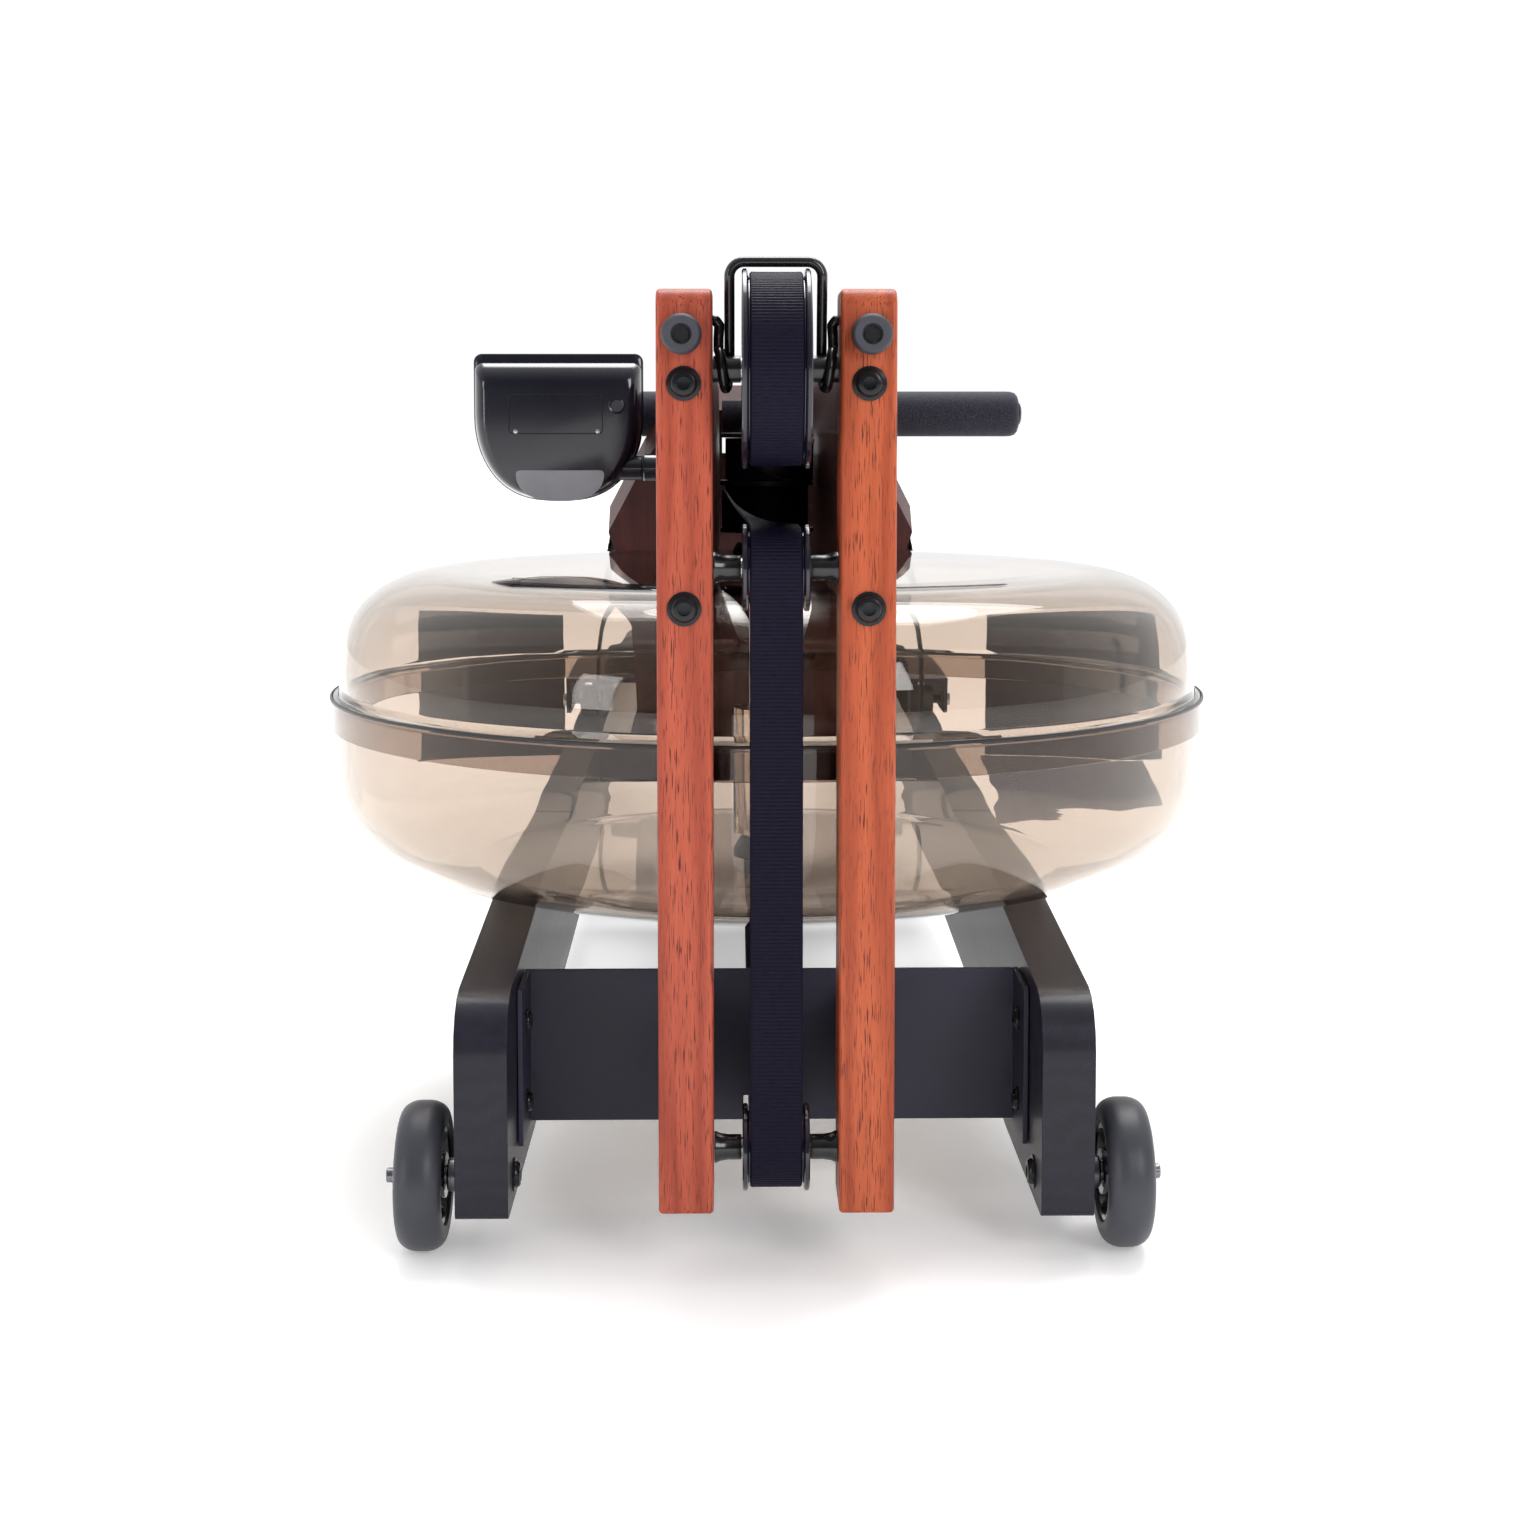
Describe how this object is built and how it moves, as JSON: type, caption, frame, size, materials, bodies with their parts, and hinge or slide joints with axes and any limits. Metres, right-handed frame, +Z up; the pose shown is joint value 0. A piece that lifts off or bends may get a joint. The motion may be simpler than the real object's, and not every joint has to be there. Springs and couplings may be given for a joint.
{
  "type": "rowing machine",
  "caption": "Timber-framed water-resistance rowing machine with a clear round tank, strap drive, sliding seat, tilted footboard and side monitor.",
  "frame": {"origin": "middle of the bounding box at floor level", "axes": "+Z up, +Y from the tank end towards the seat end, +X to the right when looking along +Y"},
  "size_m": [0.565, 2.0888, 0.533],
  "materials": {
    "rosewood": "stained and oiled hardwood, satin",
    "black_wood": "black stained hardwood, satin",
    "black_metal": "black powder coat",
    "steel": "brushed steel",
    "black_plastic": "black moulded plastic",
    "smoked_plastic": "clear smoked polycarbonate",
    "webbing": "black ribbed webbing",
    "foam": "closed-cell foam",
    "rubber": "matt black rubber",
    "grey_rubber": "dark grey rubber",
    "seat_cover": "black seat cover"
  },
  "bodies": {
    "frame": {"bottom_bearing": "black_plastic", "bungee_bracket": "black_metal", "bungee_lower": "webbing", "bungee_upper": "webbing", "footboard": "rosewood", "footboard_crossbar": "black_wood", "front_cross_plate": "black_metal", "left_bumper": "grey_rubber", "left_deck_beam": "rosewood", "left_foot_strap": "webbing", "left_rail": "black_wood", "left_rear_foot": "rubber", "left_riser": "rosewood", "left_wheel_axle": "steel", "lower_recoil_axle": "steel", "monitor_arm": "black_plastic", "rear_spacer": "black_wood", "recoil_strap_front": "webbing", "recoil_strap_rear": "webbing", "right_bumper": "grey_rubber", "right_deck_beam": "rosewood", "right_foot_strap": "webbing", "right_rail": "black_wood", "right_rear_foot": "rubber", "right_riser": "rosewood", "right_wheel_axle": "steel", "row_strap_front": "webbing", "row_strap_rear": "webbing", "tank_lower_shell": "smoked_plastic", "tank_upper_shell": "smoked_plastic", "top_bearing": "black_plastic", "top_pulley_axle": "steel", "upper_recoil_axle": "steel"},
    "rotor": {"paddle_shaft": "steel", "paddle": "smoked_plastic"},
    "drum": {"strap_drum": "black_plastic"},
    "top_pulley": {"top_pulley": "black_plastic"},
    "upper_recoil_pulley": {"upper_recoil_pulley": "black_plastic"},
    "lower_recoil_pulley": {"lower_recoil_pulley": "black_plastic"},
    "strap_guard": {"strap_guard": "black_metal"},
    "tank_plug": {"tank_plug": "black_plastic"},
    "left_wheel": {"left_wheel": "rubber"},
    "right_wheel": {"right_wheel": "rubber"},
    "handle": {"handle_core": "steel", "handle_grip": "foam"},
    "recoil_clip": {"recoil_clip": "black_plastic"},
    "bungee_pulley": {"bungee_pulley": "black_plastic"},
    "seat": {"seat_carriage": "black_metal", "seat_pad": "seat_cover"},
    "left_front_seat_roller": {"left_front_seat_roller": "rubber"},
    "left_rear_seat_roller": {"left_rear_seat_roller": "rubber"},
    "right_front_seat_roller": {"right_front_seat_roller": "rubber"},
    "right_rear_seat_roller": {"right_rear_seat_roller": "rubber"},
    "left_heel_rest": {"left_heel_rest": "black_plastic"},
    "right_heel_rest": {"right_heel_rest": "black_plastic"},
    "monitor": {"monitor_case": "black_plastic", "monitor_bezel": "black_plastic"},
    "monitor_button_1": {"monitor_button_1": "rubber"},
    "monitor_button_2": {"monitor_button_2": "rubber"},
    "monitor_button_3": {"monitor_button_3": "rubber"}
  },
  "joints": [
    {"name": "handle_pull", "type": "slide", "parent": "frame", "child": "handle", "axis": [0, 1, 0], "range_m": [0, 1.1], "stiffness_N_per_m": 20, "springref_m": -0.5, "deforming": ["row_strap_rear"]},
    {"name": "drum_spin", "type": "hinge", "parent": "frame", "child": "drum", "pos_m": [0, -0.6801, 0.41], "axis": [0, 0, 1], "range_deg": [-2240, 0]},
    {"name": "top_pulley_spin", "type": "hinge", "parent": "frame", "child": "top_pulley", "pos_m": [0, -0.9931, 0.4757], "axis": [1, 0, 0], "range_deg": [-1310, 0]},
    {"name": "upper_recoil_spin", "type": "hinge", "parent": "frame", "child": "upper_recoil_pulley", "pos_m": [0, -0.9931, 0.3736], "axis": [1, 0, 0], "range_deg": [-3210, 0]},
    {"name": "lower_recoil_spin", "type": "hinge", "parent": "frame", "child": "lower_recoil_pulley", "pos_m": [0, -0.9931, 0.068], "axis": [1, 0, 0], "range_deg": [-3210, 0]},
    {"name": "recoil_clip_slide", "type": "slide", "parent": "frame", "child": "recoil_clip", "axis": [0, -0.9992, -0.0405], "range_m": [0, 1.1], "deforming": ["recoil_strap_rear", "bungee_lower"]},
    {"name": "bungee_pulley_spin", "type": "hinge", "parent": "frame", "child": "bungee_pulley", "pos_m": [0, 0.8249, 0.142], "axis": [1, 0, 0], "range_deg": [-2160, 0]},
    {"name": "paddle_spin", "type": "hinge", "parent": "frame", "child": "rotor", "pos_m": [0, -0.6801, 0.22], "axis": [0, 0, 1], "continuous": true},
    {"name": "strap_guard_lift", "type": "hinge", "parent": "frame", "child": "strap_guard", "pos_m": [0, -0.9931, 0.4757], "axis": [-1, 0, 0], "range_deg": [0, 15], "stiffness_Nm_per_rad": 0.3, "springref_deg": -11.46},
    {"name": "tank_plug_lift", "type": "slide", "parent": "frame", "child": "tank_plug", "axis": [0, 0, 1], "range_m": [0, 0.05]},
    {"name": "left_wheel_spin", "type": "hinge", "parent": "frame", "child": "left_wheel", "pos_m": [-0.1905, -0.9521, 0.04], "axis": [1, 0, 0], "continuous": true},
    {"name": "right_wheel_spin", "type": "hinge", "parent": "frame", "child": "right_wheel", "pos_m": [0.1905, -0.9521, 0.04], "axis": [1, 0, 0], "continuous": true},
    {"name": "seat_slide", "type": "slide", "parent": "frame", "child": "seat", "axis": [0, 0.9994, 0.0349], "range_m": [0, 0.83]},
    {"name": "left_heel_slide", "type": "slide", "parent": "frame", "child": "left_heel_rest", "axis": [0, -0.6691, 0.7431], "range_m": [0, 0.05]},
    {"name": "right_heel_slide", "type": "slide", "parent": "frame", "child": "right_heel_rest", "axis": [0, -0.6691, 0.7431], "range_m": [0, 0.05]},
    {"name": "monitor_tilt", "type": "hinge", "parent": "frame", "child": "monitor", "pos_m": [-0.09, -0.4176, 0.414], "axis": [1, 0, 0], "range_deg": [-8, 30]},
    {"name": "left_front_seat_roller_spin", "type": "hinge", "parent": "seat", "child": "left_front_seat_roller", "pos_m": [-0.15625, -0.05062, 0.19024], "axis": [1, 0, 0], "range_deg": [-2930, 0]},
    {"name": "left_rear_seat_roller_spin", "type": "hinge", "parent": "seat", "child": "left_rear_seat_roller", "pos_m": [-0.15625, 0.11928, 0.19618], "axis": [1, 0, 0], "range_deg": [-2930, 0]},
    {"name": "right_front_seat_roller_spin", "type": "hinge", "parent": "seat", "child": "right_front_seat_roller", "pos_m": [0.15625, -0.05062, 0.19024], "axis": [1, 0, 0], "range_deg": [-2930, 0]},
    {"name": "right_rear_seat_roller_spin", "type": "hinge", "parent": "seat", "child": "right_rear_seat_roller", "pos_m": [0.15625, 0.11928, 0.19618], "axis": [1, 0, 0], "range_deg": [-2930, 0]},
    {"name": "monitor_button_1_press", "type": "slide", "parent": "monitor", "child": "monitor_button_1", "axis": [0, -1, 0], "range_m": [0, 0.001], "stiffness_N_per_m": 400, "springref_m": -0.0008},
    {"name": "monitor_button_2_press", "type": "slide", "parent": "monitor", "child": "monitor_button_2", "axis": [0, -1, 0], "range_m": [0, 0.001], "stiffness_N_per_m": 400, "springref_m": -0.0008},
    {"name": "monitor_button_3_press", "type": "slide", "parent": "monitor", "child": "monitor_button_3", "axis": [0, -1, 0], "range_m": [0, 0.001], "stiffness_N_per_m": 400, "springref_m": -0.0008}
  ],
  "couplings": [
    {"joint": "drum_spin", "follows": "handle_pull", "rad_per_m": -35.336},
    {"joint": "top_pulley_spin", "follows": "handle_pull", "rad_per_m": -20.534},
    {"joint": "upper_recoil_spin", "follows": "handle_pull", "rad_per_m": -50.761},
    {"joint": "lower_recoil_spin", "follows": "handle_pull", "rad_per_m": -50.761},
    {"joint": "bungee_pulley_spin", "follows": "handle_pull", "rad_per_m": -34},
    {"joint": "recoil_clip_slide", "follows": "handle_pull", "ratio": 1},
    {"joint": "left_front_seat_roller_spin", "follows": "seat_slide", "rad_per_m": -61.35},
    {"joint": "left_rear_seat_roller_spin", "follows": "seat_slide", "rad_per_m": -61.35},
    {"joint": "right_front_seat_roller_spin", "follows": "seat_slide", "rad_per_m": -61.35},
    {"joint": "right_rear_seat_roller_spin", "follows": "seat_slide", "rad_per_m": -61.35}
  ]
}
